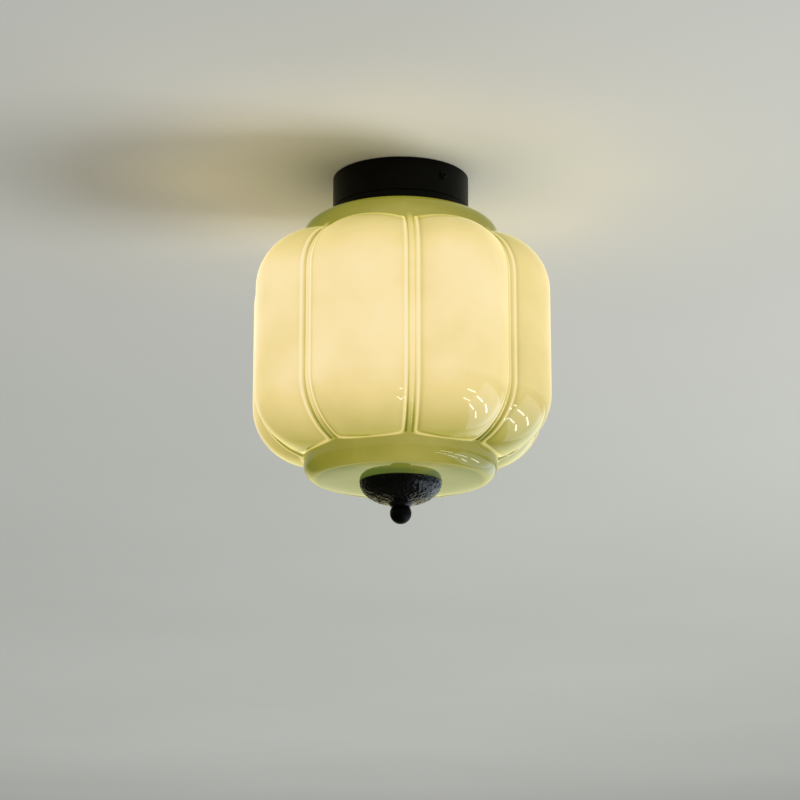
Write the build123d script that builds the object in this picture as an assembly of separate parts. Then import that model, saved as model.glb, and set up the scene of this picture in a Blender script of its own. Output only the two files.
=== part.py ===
from build123d import *
import math
import os

# Flush ceiling light with a lobed glass shade. All sizes are in millimetres.
# Z points up, the ceiling is the plane z = 0, the light hangs below it and its front faces -Y.
# Azimuths are degrees about Z, from the front towards +X.

# Clearances shared by several pieces
seat_gap = 0.2
slip_gap = 0.3
thread_gap = 0.05

# Ceiling cup and the gallery ring under it
canopy_radius = 50.0
canopy_height = 24.7
canopy_wall = 1.2
canopy_edge_round = 0.8
ceiling_gap = 0.2
gallery_depth = 5.6
gallery_disc = 1.5
gallery_skirt = 1.5
side_screw_azimuth = 37.7
side_screw_z = -10.5

# Ceiling plate, which lies inside the cup's wall
plate_edge_gap = 2.8
plate_radius = canopy_radius - canopy_wall - plate_edge_gap
plate_thickness = 1.5
slot_spacing = 60.0
slot_length = 16.0
slot_width = 5.0
cable_hole_radius = 10.0
ear_width = 12.0
ear_height = 15.5
ear_wall_gap = 0.6
bend_radius = 2.0

# Cable bush
bush_wall = 2.5
bush_flange_radius = 13.0
bush_flange_thickness = 2.0

# Terminal block and earth terminal, both under the ceiling plate
block_edge_gap = 10.0
block_length = 30.0
block_width = 16.0
block_y = plate_radius - block_edge_gap - block_width / 2
block_base_height = 7.0
block_ways = 3
block_corner_round = 1.5
turret_radius = 3.0
turret_height = 4.0
turret_row_spacing = 10.0
wire_hole_radius = 1.6
terminal_screw_radius = 1.5
earth_x = -20.0
earth_y = -22.0
earth_screw_radius = 2.0
earth_washer_radius = 5.0
earth_washer_thickness = 1.0

# Small metric screws with pan heads
m3_radius = 1.5
m3_head_radius = 2.9
m3_head_height = 1.9
side_screw_length = 6.0
holder_screw_length = 4.6

# Centre rod with its nuts and washers
rod_radius = 3.0
rod_top_reach = 1.0
nut_across_flats = 10.0
nut_height = 5.0
washer_radius = 6.0
washer_thickness = 1.6

# Lampholders and plug-in lamps
lamp_count = 3
lamp_circle = 19.0
first_lamp_azimuth = 60.0
holder_radius = 8.5
holder_height = 19.0
holder_bar_length = 30.0
holder_bar_width = 10.0
holder_bar_height = 3.5
holder_screw_spacing = 23.0
wire_way_radius = 4.0
pin_spacing = 9.0
pin_wire_radius = 0.4
pin_loop_width = 2.6
pin_length = 6.5
contact_length = 4.2
contact_width = 2.4
contact_wall = 0.3
contact_depth = 8.0
lamp_neck_radius = 6.6
lamp_neck_height = 3.0
lamp_body_radius = 8.0
lamp_body_height = 11.0
lamp_cover_radius = 7.3
lamp_cover_length = 30.0

# Glass shade
lobe_count = 8
groove_azimuth = 4.5
lobe_axis_offset = 60.0
lobe_radius = 51.3
lobe_height = 162.4
top_shoulder_radius = 42.5
bottom_shoulder_radius = 44.0
channel_width = 6.4
channel_depth = 1.0
lobe_edge_cut = 1.6
lobe_overlap = 1.0
rib_width = 5.0
rib_height = 2.2
rib_edge_cut = 1.2
glass_wall = 5.0
flange_radius = 71.5
flange_round_width = 30.0
flange_round_height = 14.0
flange_height = 20.1
foot_radius = 70.0
foot_corner_width = 11.0
foot_straight_height = 5.0
foot_height = 16.6
bottom_crown = 0.8
top_opening_radius = 34.0
bottom_hole_radius = 6.5

# Soft ring on top of the glass, which lies inside the gallery's skirt
gasket_width = 9.0
gasket_edge_gap = 3.5
gasket_outer_radius = canopy_radius - gallery_skirt - gasket_edge_gap
gasket_inner_radius = gasket_outer_radius - gasket_width

# Bush in the bottom hole of the glass
shade_bush_flange_radius = 10.0
shade_bush_flange_thickness = 1.5

# Finial: hammered dome, its soft ring, ball knob and threaded insert
dome_radius = 29.7
dome_height = 16.3
dome_wall = 1.6
dome_boss_radius = 7.0
dome_boss_height = 8.7
dome_neck_radius = 7.4
dome_neck_drop = 1.4
dome_flare_radius = 12.5
finial_gasket_thickness = 0.6
finial_gasket_width = 3.2
ball_radius = 7.75
ball_drop = 4.6
collar_radius = 6.4
collar_height = 1.6
insert_radius = 3.9
insert_length = 9.0
rod_tip_grip = 6.6

# Levels that follow from the sizes above
canopy_top_z = -ceiling_gap
canopy_floor_z = -canopy_height
gallery_floor_z = canopy_floor_z - gallery_disc
gallery_rim_z = canopy_floor_z - gallery_depth
holder_bottom_z = gallery_floor_z - holder_height
glass_top_z = gallery_rim_z - seat_gap
flange_equator_z = glass_top_z - flange_round_height
lobe_top_z = glass_top_z - flange_height
lobe_bottom_z = lobe_top_z - lobe_height
foot_equator_z = lobe_bottom_z - foot_straight_height
glass_bottom_z = lobe_bottom_z - foot_height
dome_rim_z = glass_bottom_z - finial_gasket_thickness
dome_seat_z = dome_rim_z - dome_height - dome_neck_drop
knob_top_z = dome_seat_z - seat_gap
ball_centre_z = knob_top_z - ball_drop
rod_tip_z = knob_top_z - rod_tip_grip
half_sector = 180.0 / lobe_count


def at_azimuth(shape, azimuth):
    """Turn a shape that was made at the front to its azimuth."""
    return Rot(0, 0, azimuth) * shape


def around(shape, count, first_azimuth):
    """Copies of a front shape, spread evenly about Z."""
    return [at_azimuth(shape, first_azimuth + i * 360.0 / count) for i in range(count)]


def turned(*edges):
    """Solid of revolution about Z from profile edges given as (radius, height)."""
    return revolve(Plane.XZ * make_face(edges), Axis.Z)


def ring(inner_radius, outer_radius, bottom_z, top_z):
    """Plain tube or washer about Z."""
    outer = Cylinder(outer_radius, top_z - bottom_z)
    inner = Cylinder(inner_radius, top_z - bottom_z)
    return Pos(0, 0, (top_z + bottom_z) / 2) * (outer - inner)


def disc(radius, bottom_z, top_z):
    """Plain cylinder about Z."""
    return Pos(0, 0, (top_z + bottom_z) / 2) * Cylinder(radius, top_z - bottom_z)


def group(solids):
    """Separate solids that share one node."""
    return Compound(children=[item for solid in solids for item in solid.solids()])


def pan_screw(shank_radius, length, head_radius, head_height):
    """Screw that points up: shank above z = 0, domed head below."""
    shank = disc(shank_radius, 0, length)
    head = disc(head_radius, -head_height, 0)
    head = fillet(head.edges().group_by(Axis.Z)[0], head_height * 0.6)
    return shank + head


def lamp_azimuths():
    """Where the lampholders stand."""
    return [first_lamp_azimuth + i * 360.0 / lamp_count for i in range(lamp_count)]


def lamp_spots(shape):
    """One copy of a shape made on the axis for each lampholder place."""
    return [at_azimuth(Pos(0, -lamp_circle, 0) * shape, azimuth) for azimuth in lamp_azimuths()]


def holder_screw_spots(shape):
    """Copies of a shape made on the axis, at the two screws of each lampholder."""
    pair = [Pos(side * holder_screw_spacing / 2, 0, 0) * shape for side in (-1, 1)]
    return [spot for half in pair for spot in lamp_spots(half)]


# Ceiling fixing


def ear_outer_face():
    """Distance of an ear's outer face from the axis, just inside the cup's wall."""
    return canopy_radius - canopy_wall - ear_wall_gap


def ear():
    """Bent tab at the front of the plate, with the threaded hole of the side screw."""
    face = ear_outer_face()
    reach = plate_radius / 2
    tab = Pos(0, -(face + reach) / 2, -plate_thickness / 2)
    tab = tab * Box(ear_width, face - reach, plate_thickness)
    leg = Pos(0, -face + plate_thickness / 2, -ear_height / 2)
    leg = leg * Box(ear_width, plate_thickness, ear_height)
    bent = tab + leg
    outer_bend = bent.edges().filter_by(Axis.X).group_by(Axis.Z)[-1].sort_by(Axis.Y)[0]
    bent = fillet(outer_bend, bend_radius * 0.7)
    tip_edges = bent.edges().filter_by(Axis.Y).group_by(Axis.Z)[0]
    bent = fillet(tip_edges, ear_width / 4)
    hole = Pos(0, -face, side_screw_z) * Rot(90, 0, 0) * Cylinder(m3_radius, ear_width)
    return bent - hole


def ceiling_plate():
    """Steel plate that is screwed to the ceiling and carries everything else."""
    plate = disc(plate_radius, -plate_thickness, 0)
    for side in (-1, 1):
        slot = extrude(SlotOverall(slot_length, slot_width), 2 * plate_thickness, both=True)
        plate -= Pos(side * slot_spacing / 2, 0, 0) * slot
    plate -= disc(cable_hole_radius, -2 * plate_thickness, plate_thickness)
    for hole in block_screw_spots(disc(m3_radius, -2 * plate_thickness, plate_thickness)):
        plate -= hole
    plate -= Pos(earth_x, earth_y, 0) * disc(earth_screw_radius, -2 * plate_thickness, plate_thickness)
    for tab in around(ear(), 2, side_screw_azimuth):
        plate += tab
    return plate


def cable_bush():
    """Soft bush that lines the cable hole from below."""
    sleeve = cable_hole_radius - thread_gap
    body = disc(sleeve, -plate_thickness, -ceiling_gap)
    flange = disc(bush_flange_radius, -plate_thickness - bush_flange_thickness, -plate_thickness)
    flange = fillet(flange.edges().group_by(Axis.Z)[0], bush_flange_thickness / 2)
    bore = disc(cable_hole_radius - bush_wall, -canopy_height, 0)
    return body + flange - bore


def terminal_spots(shape):
    """Copies of a shape made on the axis, at the six clamping screws of the block."""
    pitch = block_length / block_ways
    places = []
    for way in range(block_ways):
        for row in (-1, 1):
            x = (way - (block_ways - 1) / 2) * pitch
            places.append(Pos(x, block_y + row * turret_row_spacing / 2, 0) * shape)
    return places


def block_screw_spots(shape):
    """Copies of a shape made on the axis, at the fixing screws between the ways of the block."""
    pitch = block_length / block_ways
    return [Pos(side * pitch / 2, block_y, 0) * shape for side in (-1, 1)]


def block_screw_seat():
    """Level at which the heads of the fixing screws sit in the block."""
    return -plate_thickness - block_base_height * 2 / 3


def terminal_block():
    """Three-way block: a base with one turret for each screw and a wire hole through each way."""
    top_z = -plate_thickness
    base_z = top_z - block_base_height
    base = Pos(0, block_y, (top_z + base_z) / 2) * Box(block_length, block_width, block_base_height)
    base = fillet(base.edges().filter_by(Axis.Z), block_corner_round)
    for turret in terminal_spots(disc(turret_radius, base_z - turret_height, base_z + 1)):
        base += turret
    wire_z = base_z + block_base_height * 0.45
    pitch = block_length / block_ways
    for way in range(block_ways):
        x = (way - (block_ways - 1) / 2) * pitch
        base -= Pos(x, block_y, wire_z) * Rot(90, 0, 0) * Cylinder(wire_hole_radius, 2 * block_width)
    screw_way = disc(terminal_screw_radius + thread_gap, base_z - 2 * turret_height, wire_z)
    for hole in terminal_spots(screw_way):
        base -= hole
    for hole in block_screw_spots(disc(m3_radius + seat_gap, -canopy_height, 0)):
        base -= hole
    for well in block_screw_spots(disc(m3_head_radius + seat_gap, base_z - 1, block_screw_seat())):
        base -= well
    return base


def terminal_screws():
    """Slotted clamping screws, turned halfway into the turrets."""
    base_z = -plate_thickness - block_base_height
    low = base_z - turret_height + 0.8
    body = disc(terminal_screw_radius, low, low + 4.5)
    slot = Pos(0, 0, low) * Box(4 * terminal_screw_radius, 0.6, 1.2)
    return group(terminal_spots(body - slot))


def block_screws():
    """Screws that hold the terminal block to the plate."""
    seat_z = block_screw_seat()
    screw = pan_screw(m3_radius - thread_gap, -ceiling_gap - seat_z, m3_head_radius, m3_head_height)
    return group(block_screw_spots(Pos(0, 0, seat_z) * screw))


def earth_screw():
    """Earth terminal screw under the ceiling plate."""
    head_z = -plate_thickness - earth_washer_thickness
    length = -ceiling_gap - head_z
    screw = pan_screw(earth_screw_radius - thread_gap, length, earth_screw_radius * 1.9, 2.6)
    slot = Pos(0, 0, -2.6) * Box(6 * earth_screw_radius, 0.9, 2.0)
    return Pos(earth_x, earth_y, head_z) * (screw - slot)


def earth_washer():
    """Washer with two ears turned down to hold the earth wire under the screw."""
    top_z = -plate_thickness
    washer = ring(earth_screw_radius + thread_gap, earth_washer_radius, top_z - earth_washer_thickness, top_z)
    lug = Box(1.2, earth_washer_radius, 3 * earth_washer_thickness)
    for side in (-1, 1):
        washer += Pos(side * (earth_washer_radius - 0.6), 0, top_z - 1.5 * earth_washer_thickness) * lug
    return Pos(earth_x, earth_y, 0) * washer


# Cup, gallery and rod


def cover_holes(bottom_z, top_z):
    """Holes for the rod and for the wires of each lampholder, through cup and gallery."""
    holes = [disc(rod_radius + seat_gap, bottom_z, top_z)]
    holes += lamp_spots(disc(wire_way_radius, bottom_z, top_z))
    return holes


def canopy():
    """Ceiling cup, open at the ceiling and closed below."""
    cup = disc(canopy_radius, canopy_floor_z, canopy_top_z)
    cup = fillet(cup.edges().group_by(Axis.Z)[0], canopy_edge_round)
    cup -= disc(canopy_radius - canopy_wall, canopy_floor_z + canopy_wall, 1)
    for hole in cover_holes(canopy_floor_z - 1, canopy_floor_z + 2 * canopy_wall):
        cup -= hole
    reach = Pos(0, -canopy_radius, side_screw_z) * Rot(90, 0, 0)
    for hole in around(reach * Cylinder(m3_radius + seat_gap, 4 * canopy_wall), 2, side_screw_azimuth):
        cup -= hole
    return cup


def canopy_screws():
    """Side screws that hold the cup to the ears of the ceiling plate."""
    screw = pan_screw(m3_radius - thread_gap, side_screw_length, m3_head_radius, m3_head_height)
    screw = Pos(0, -canopy_radius, side_screw_z) * Rot(-90, 0, 0) * screw
    return group(around(screw, 2, side_screw_azimuth))


def gallery():
    """Shallow ring pan under the cup: carries the lampholders and covers the rim of the glass."""
    pan = disc(canopy_radius, gallery_rim_z, canopy_floor_z)
    pan = fillet(pan.edges().group_by(Axis.Z)[-1], canopy_edge_round / 2)
    pan = fillet(pan.edges().group_by(Axis.Z)[0], canopy_edge_round / 2)
    pan -= disc(canopy_radius - gallery_skirt, gallery_rim_z - 1, gallery_floor_z)
    for hole in cover_holes(gallery_floor_z - 1, canopy_floor_z + 1):
        pan -= hole
    for hole in holder_screw_spots(disc(m3_radius, gallery_floor_z - 1, canopy_floor_z + 1)):
        pan -= hole
    return pan


def top_gasket():
    """Soft ring between the gallery and the top rim of the glass."""
    soft = ring(gasket_inner_radius, gasket_outer_radius, glass_top_z + seat_gap, gallery_floor_z)
    return fillet(soft.edges().group_by(Axis.Z)[0], 0.8)


def rod_levels():
    """Undersides of the two washers and the two nuts, and the top of the rod."""
    upper_washer = canopy_floor_z + canopy_wall
    upper_nut = upper_washer + washer_thickness
    lower_washer = gallery_floor_z - washer_thickness
    lower_nut = lower_washer - nut_height
    return upper_washer, upper_nut, lower_washer, lower_nut, upper_nut + nut_height + rod_top_reach


def centre_rod():
    """Threaded rod from the cup to the finial knob, with chamfered ends."""
    rod = disc(rod_radius, rod_tip_z, rod_levels()[4])
    ends = rod.edges().group_by(Axis.Z)
    return chamfer(ends[0] + ends[-1], rod_radius / 4)


def rod_nuts():
    """Hexagon nuts above the cup's floor and below the gallery."""
    hexagon = RegularPolygon(nut_across_flats / 2, 6, major_radius=False)
    blank = extrude(hexagon, nut_height)
    blunt = Pos(0, 0, nut_height / 2) * Cylinder(nut_across_flats / 2 * 1.12, nut_height)
    rounded = chamfer(blunt.edges(), nut_height / 8)
    nut = (blank & rounded) - disc(rod_radius + thread_gap, -1, nut_height + 1)
    levels = rod_levels()
    return group([Pos(0, 0, levels[1]) * nut, Pos(0, 0, levels[3]) * nut])


def rod_washers():
    """Plain washers of the two nuts."""
    washer = ring(rod_radius + seat_gap, washer_radius, 0, washer_thickness)
    levels = rod_levels()
    return group([Pos(0, 0, levels[0]) * washer, Pos(0, 0, levels[2]) * washer])


# Lampholders and lamps


def contact_spots(shape):
    """Two copies of a shape at the pins of one lamp."""
    return [Pos(side * pin_spacing / 2, 0, 0) * shape for side in (-1, 1)]


def lampholder():
    """Ceramic lampholder on the axis: round body, fixing bar, two sockets open below."""
    body = disc(holder_radius, holder_bottom_z, gallery_floor_z)
    body = fillet(body.edges().group_by(Axis.Z)[0], 1.0)
    bar = extrude(SlotOverall(holder_bar_length, holder_bar_width), holder_bar_height)
    body += Pos(0, 0, gallery_floor_z - holder_bar_height) * bar
    socket = Box(contact_length + 2 * thread_gap, contact_width + 2 * thread_gap, contact_depth)
    for hole in contact_spots(Pos(0, 0, holder_bottom_z + contact_depth / 2) * socket):
        body -= hole
    for side in (-1, 1):
        fixing = disc(m3_radius + seat_gap, gallery_floor_z - 2 * holder_bar_height, gallery_floor_z + 1)
        body -= Pos(side * holder_screw_spacing / 2, 0, 0) * fixing
    body -= disc(wire_way_radius * 0.75, gallery_floor_z - holder_height / 3, gallery_floor_z + 1)
    return body


def lampholder_contacts():
    """Sprung metal sleeves in the sockets of the lampholders."""
    outer = Box(contact_length, contact_width, contact_depth - 0.6)
    inner = Box(contact_length - 2 * contact_wall, contact_width - 2 * contact_wall, contact_depth)
    sleeve = Pos(0, 0, holder_bottom_z + contact_depth / 2 + 0.3) * (outer - inner)
    return group([spot for pin in contact_spots(sleeve) for spot in lamp_spots(pin)])


def lampholder_screws():
    """Screws that fix the lampholders to the gallery from below."""
    screw = pan_screw(m3_radius - thread_gap, holder_screw_length, m3_head_radius - 0.3, m3_head_height)
    return group(holder_screw_spots(Pos(0, 0, gallery_floor_z - holder_bar_height) * screw))


def lamp_top_z():
    """Top face of a plugged-in lamp."""
    return holder_bottom_z - seat_gap


def lamp_body():
    """Base of the plug-in lamp on the axis, with a neck that meets the lampholder."""
    top_z = lamp_top_z()
    neck = disc(lamp_neck_radius, top_z - lamp_neck_height, top_z)
    body = disc(lamp_body_radius, top_z - lamp_neck_height - lamp_body_height, top_z - lamp_neck_height)
    body = fillet(body.edges().group_by(Axis.Z)[-1], 1.2)
    return neck + body


def lamp_cover():
    """Frosted light cover under the lamp's base, round at its end."""
    top_z = lamp_top_z() - lamp_neck_height - lamp_body_height
    cover = disc(lamp_cover_radius, top_z - lamp_cover_length, top_z)
    return fillet(cover.edges().group_by(Axis.Z)[0], lamp_cover_radius * 0.8)


def lamp_pins():
    """Two wire loops on top of the lamp."""
    half = pin_loop_width / 2 - pin_wire_radius
    straight = pin_length - half - pin_wire_radius
    left = Line((-half, 0, 0), (-half, 0, straight))
    bow = ThreePointArc((-half, 0, straight), (0, 0, straight + half), (half, 0, straight))
    right = Line((half, 0, straight), (half, 0, 0))
    path = Wire([left, bow, right])
    loop = sweep(Pos(-half, 0, 0) * Circle(pin_wire_radius), path=path)
    return contact_spots(Pos(0, 0, lamp_top_z()) * loop)


# Glass shade


def shoulder_arc(centre, radius, start, size=90):
    """Quarter of a circle in a profile."""
    return CenterArc(centre, radius, start, size)


def barrel_edges(radius, top_z, bottom_z, top_round, bottom_round):
    """Closed profile of an upright barrel with rounded shoulders."""
    top_centre = (radius - top_round, top_z - top_round)
    bottom_centre = (radius - bottom_round, bottom_z + bottom_round)
    return [
        Line((0, top_z), (top_centre[0], top_z)),
        shoulder_arc(top_centre, top_round, 0),
        Line((radius, top_centre[1]), (radius, bottom_centre[1])),
        shoulder_arc(bottom_centre, bottom_round, 270),
        Line((bottom_centre[0], bottom_z), (0, bottom_z)),
        Line((0, bottom_z), (0, top_z)),
    ]


def valley_radius(radius):
    """Distance from the axis at which two neighbouring lobes of this radius would meet."""
    along = lobe_axis_offset * math.cos(math.radians(half_sector))
    across = lobe_axis_offset * math.sin(math.radians(half_sector))
    return along + math.sqrt(radius ** 2 - across ** 2)


def parting_height(shoulder):
    """Height over a shoulder's centre at which two neighbouring lobes part."""
    across = lobe_axis_offset * math.sin(math.radians(half_sector))
    return math.sqrt(shoulder ** 2 - (across - lobe_radius + shoulder) ** 2)


def channel_barrel():
    """Radius, levels and shoulder radii of the channel floors between the lobes."""
    radius = valley_radius(lobe_radius) - channel_depth
    top_round = parting_height(top_shoulder_radius) - channel_depth
    bottom_round = parting_height(bottom_shoulder_radius) - channel_depth
    top_z = lobe_top_z - top_shoulder_radius + top_round
    bottom_z = lobe_bottom_z + bottom_shoulder_radius - bottom_round
    return radius, top_z, bottom_z, top_round, bottom_round


def sector(gap):
    """Blunt wedge at the front that holds one lobe and stays half the gap away from its neighbours."""
    angle = math.radians(half_sector)
    tip = gap / 2 / math.sin(angle)
    near = lobe_axis_offset * 0.8
    far = 2 * lobe_radius + lobe_axis_offset
    near_corner = (near - tip) * math.tan(angle)
    far_corner = (far - tip) * math.tan(angle)
    face = make_face(Polyline((near_corner, -near), (far_corner, -far), (-far_corner, -far),
                              (-near_corner, -near), close=True))
    return Pos(0, 0, lobe_bottom_z - 1) * extrude(face, lobe_top_z - lobe_bottom_z + 2)


def lobe(inset, gap):
    """One lobe at the front: a barrel about its own axis, cut to its sector."""
    barrel = turned(*barrel_edges(
        lobe_radius - inset,
        lobe_top_z - inset,
        lobe_bottom_z + inset,
        top_shoulder_radius - inset,
        bottom_shoulder_radius - inset,
    ))
    return (Pos(0, -lobe_axis_offset, 0) * barrel) & sector(gap)


def eased_lobe():
    """Outer lobe with its two long edges eased where they roll over into the channels."""
    sharp = lobe(0, channel_width)
    walls = sharp.faces().filter_by(GeomType.PLANE).filter_by(lambda face: abs(face.normal_at().Z) < 0.01)
    rims = walls.edges().filter_by(lambda edge: math.hypot(edge.center().X, edge.center().Y) > flange_radius)
    return chamfer(rims, lobe_edge_cut)


def all_lobes(front_lobe):
    """The lobes in their places, each half a sector away from the grooves."""
    return around(front_lobe, lobe_count, groove_azimuth + half_sector)


def rib():
    """Eased rib on the channel floor at the front, from the flange to the foot."""
    radius, top_z, bottom_z, top_round, bottom_round = channel_barrel()
    crest = turned(*barrel_edges(
        radius + rib_height,
        top_z + rib_height,
        bottom_z - rib_height,
        top_round + rib_height,
        bottom_round + rib_height,
    ))
    inner_y = top_round - radius
    outer_y = -radius - 2 * rib_height
    middle = Pos(0, (inner_y + outer_y) / 2, (top_z + bottom_z) / 2)
    blank = crest & middle * Box(rib_width, inner_y - outer_y, top_z - bottom_z + 4 * rib_height)
    walls = blank.faces().filter_by(Axis.X)
    rims = walls.edges().filter_by(lambda edge: edge.center().Y < inner_y - rib_height)
    return chamfer(rims, rib_edge_cut)


def flange_solid(inset):
    """Rounded shoulder ring on top of the lobes."""
    radius = flange_radius - 1.3 * inset
    width = flange_round_width - inset
    top_z = glass_top_z - inset
    foot_z = channel_barrel()[1] - inset - 1.5
    height = top_z - flange_equator_z
    return turned(
        Line((0, top_z), (radius - width, top_z)),
        EllipticalCenterArc((radius - width, flange_equator_z), width, height, 0, arc_size=90),
        Line((radius, flange_equator_z), (radius, foot_z)),
        Line((radius, foot_z), (0, foot_z)),
        Line((0, foot_z), (0, top_z)),
    )


def foot_solid(inset):
    """Rounded foot ring with a slightly convex bottom."""
    radius = foot_radius - 1.2 * inset
    width = foot_corner_width - inset / 2
    bottom_z = glass_bottom_z + inset
    corner_z = bottom_z + bottom_crown
    head_z = channel_barrel()[2] + inset + 1.5
    flat = radius - width
    return turned(
        Line((0, head_z), (radius, head_z)),
        Line((radius, head_z), (radius, foot_equator_z)),
        EllipticalCenterArc((flat, foot_equator_z), width, foot_equator_z - corner_z, 270, arc_size=90),
        ThreePointArc((flat, corner_z), (flat / 2, bottom_z + bottom_crown / 4), (0, bottom_z)),
        Line((0, bottom_z), (0, head_z)),
    )


def glass_outside():
    """Outer form: channel floors, flange and foot, with the lobes and ribs on them."""
    form = turned(*barrel_edges(*channel_barrel()))
    form = form.fuse(flange_solid(0), foot_solid(0))
    form = form.fuse(*all_lobes(eased_lobe()))
    return form.fuse(*around(rib(), lobe_count, groove_azimuth))


def glass_inside():
    """Hollow of the shade, which follows the lobes, the flange and the foot."""
    hollow = disc(lobe_axis_offset, lobe_bottom_z + glass_wall, lobe_top_z - glass_wall)
    hollow = hollow.fuse(flange_solid(glass_wall), foot_solid(glass_wall))
    return hollow.fuse(*all_lobes(lobe(glass_wall, -lobe_overlap)))


def glass_shade():
    """Blown glass shade with an open neck on top and a small hole below."""
    shade = glass_outside() - glass_inside()
    shade -= disc(top_opening_radius, lobe_top_z, glass_top_z + 1)
    shade -= disc(bottom_hole_radius, glass_bottom_z - 1, lobe_bottom_z)
    return shade


def shade_bush():
    """Soft bush that keeps the rod off the glass."""
    floor_z = glass_bottom_z + glass_wall + bottom_crown
    sleeve = disc(bottom_hole_radius - thread_gap, glass_bottom_z + seat_gap, floor_z)
    flange = disc(shade_bush_flange_radius, floor_z, floor_z + shade_bush_flange_thickness)
    flange = fillet(flange.edges().group_by(Axis.Z)[-1], shade_bush_flange_thickness / 2)
    return sleeve + flange - disc(rod_radius + slip_gap, glass_bottom_z - 1, lobe_bottom_z)


# Finial


def finial_gasket():
    """Soft ring between the dome's rim and the glass."""
    outer = dome_radius - slip_gap
    return ring(outer - finial_gasket_width, outer, dome_rim_z, glass_bottom_z)


def dome_neck():
    """Flared neck under the dome, with the flat seat of the knob."""
    side = math.sqrt(1 - (dome_flare_radius / dome_radius) ** 2)
    flare_z = dome_rim_z - dome_height * side
    waist = (0.75 * dome_neck_radius + 0.25 * dome_flare_radius, 0.45 * flare_z + 0.55 * dome_seat_z)
    return turned(
        Line((0, flare_z), (dome_flare_radius, flare_z)),
        ThreePointArc((dome_flare_radius, flare_z), waist, (dome_neck_radius, dome_seat_z)),
        Line((dome_neck_radius, dome_seat_z), (0, dome_seat_z)),
        Line((0, dome_seat_z), (0, flare_z)),
    )


def finial_cup():
    """Hollow dome with a boss for the rod and a neck for the knob."""
    width = dome_radius
    outer = turned(
        Line((0, dome_rim_z), (width, dome_rim_z)),
        EllipticalCenterArc((0, dome_rim_z), width, dome_height, 270, arc_size=90),
        Line((0, dome_rim_z - dome_height), (0, dome_rim_z)),
    )
    hollow = turned(
        Line((0, dome_rim_z), (width - dome_wall, dome_rim_z)),
        EllipticalCenterArc((0, dome_rim_z), width - dome_wall, dome_height - dome_wall, 270, arc_size=90),
        Line((0, dome_rim_z - dome_height + dome_wall), (0, dome_rim_z)),
    )
    rim_width = finial_gasket_width + slip_gap
    rim = ring(dome_radius - rim_width, dome_radius - dome_wall / 2, dome_rim_z - dome_wall, dome_rim_z)
    boss = disc(dome_boss_radius, dome_seat_z, dome_seat_z + dome_boss_height)
    cup = outer - hollow + rim + boss + dome_neck()
    return cup - disc(rod_radius + slip_gap, dome_seat_z - 1, dome_rim_z + 1)


def insert_bottom_z():
    """Lower end of the threaded insert."""
    return knob_top_z - insert_length


def finial_knob():
    """Ball with a short collar, bored for the threaded insert."""
    ball = Pos(0, 0, ball_centre_z) * Sphere(ball_radius)
    ball -= disc(ball_radius + 1, knob_top_z - collar_height * 0.4, knob_top_z + 2 * ball_radius)
    knob = ball + disc(collar_radius, knob_top_z - collar_height, knob_top_z)
    return knob - disc(insert_radius + thread_gap, insert_bottom_z(), knob_top_z + 1)


def finial_insert():
    """Brass insert with a blind threaded hole for the rod's tip."""
    body = disc(insert_radius, insert_bottom_z() + thread_gap, knob_top_z)
    bore_z = rod_tip_z - seat_gap
    return body - disc(rod_radius + thread_gap, bore_z, knob_top_z + 1)


def all_pieces():
    """Every node of the light by name."""
    pieces = {
        "ceiling_plate": ceiling_plate(),
        "cable_bush": cable_bush(),
        "terminal_block": terminal_block(),
        "terminal_screws": terminal_screws(),
        "block_screws": block_screws(),
        "earth_screw": earth_screw(),
        "earth_washer": earth_washer(),
        "canopy": canopy(),
        "canopy_screws": canopy_screws(),
        "gallery": gallery(),
        "top_gasket": top_gasket(),
        "centre_rod": centre_rod(),
        "rod_nuts": rod_nuts(),
        "rod_washers": rod_washers(),
        "lampholder_contacts": lampholder_contacts(),
        "lampholder_screws": lampholder_screws(),
        "glass_shade": glass_shade(),
        "shade_bush": shade_bush(),
        "finial_gasket": finial_gasket(),
        "finial_cup": finial_cup(),
        "finial_knob": finial_knob(),
        "finial_insert": finial_insert(),
    }
    holders = lamp_spots(lampholder())
    bodies = lamp_spots(lamp_body())
    covers = lamp_spots(lamp_cover())
    pin_sides = [lamp_spots(loop) for loop in lamp_pins()]
    for i in range(lamp_count):
        pieces[f"lampholder_{i + 1}"] = holders[i]
        pieces[f"bulb_{i + 1}_body"] = bodies[i]
        pieces[f"bulb_{i + 1}_cover"] = covers[i]
        pieces[f"bulb_{i + 1}_pins"] = group([side[i] for side in pin_sides])
    return pieces


os.makedirs("parts", exist_ok=True)
for name, piece in all_pieces().items():
    export_step(piece, f"parts/{name}.step")
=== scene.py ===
import math

import bpy
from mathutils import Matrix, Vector, noise


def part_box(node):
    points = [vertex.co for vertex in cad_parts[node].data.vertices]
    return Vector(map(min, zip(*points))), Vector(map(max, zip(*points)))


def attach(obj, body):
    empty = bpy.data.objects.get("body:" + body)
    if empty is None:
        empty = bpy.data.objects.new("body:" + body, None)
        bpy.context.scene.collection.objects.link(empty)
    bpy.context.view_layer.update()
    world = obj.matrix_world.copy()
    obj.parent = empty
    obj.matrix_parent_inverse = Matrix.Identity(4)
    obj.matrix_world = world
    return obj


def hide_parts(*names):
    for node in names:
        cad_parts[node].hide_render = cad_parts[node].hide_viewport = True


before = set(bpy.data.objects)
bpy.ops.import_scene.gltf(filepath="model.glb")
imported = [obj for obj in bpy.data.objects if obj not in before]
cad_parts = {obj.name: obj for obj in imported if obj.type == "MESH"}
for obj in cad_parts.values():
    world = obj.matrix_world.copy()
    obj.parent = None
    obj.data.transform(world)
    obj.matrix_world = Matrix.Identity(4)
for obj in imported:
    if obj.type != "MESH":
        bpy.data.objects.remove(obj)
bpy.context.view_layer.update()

MM = 0.001

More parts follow.
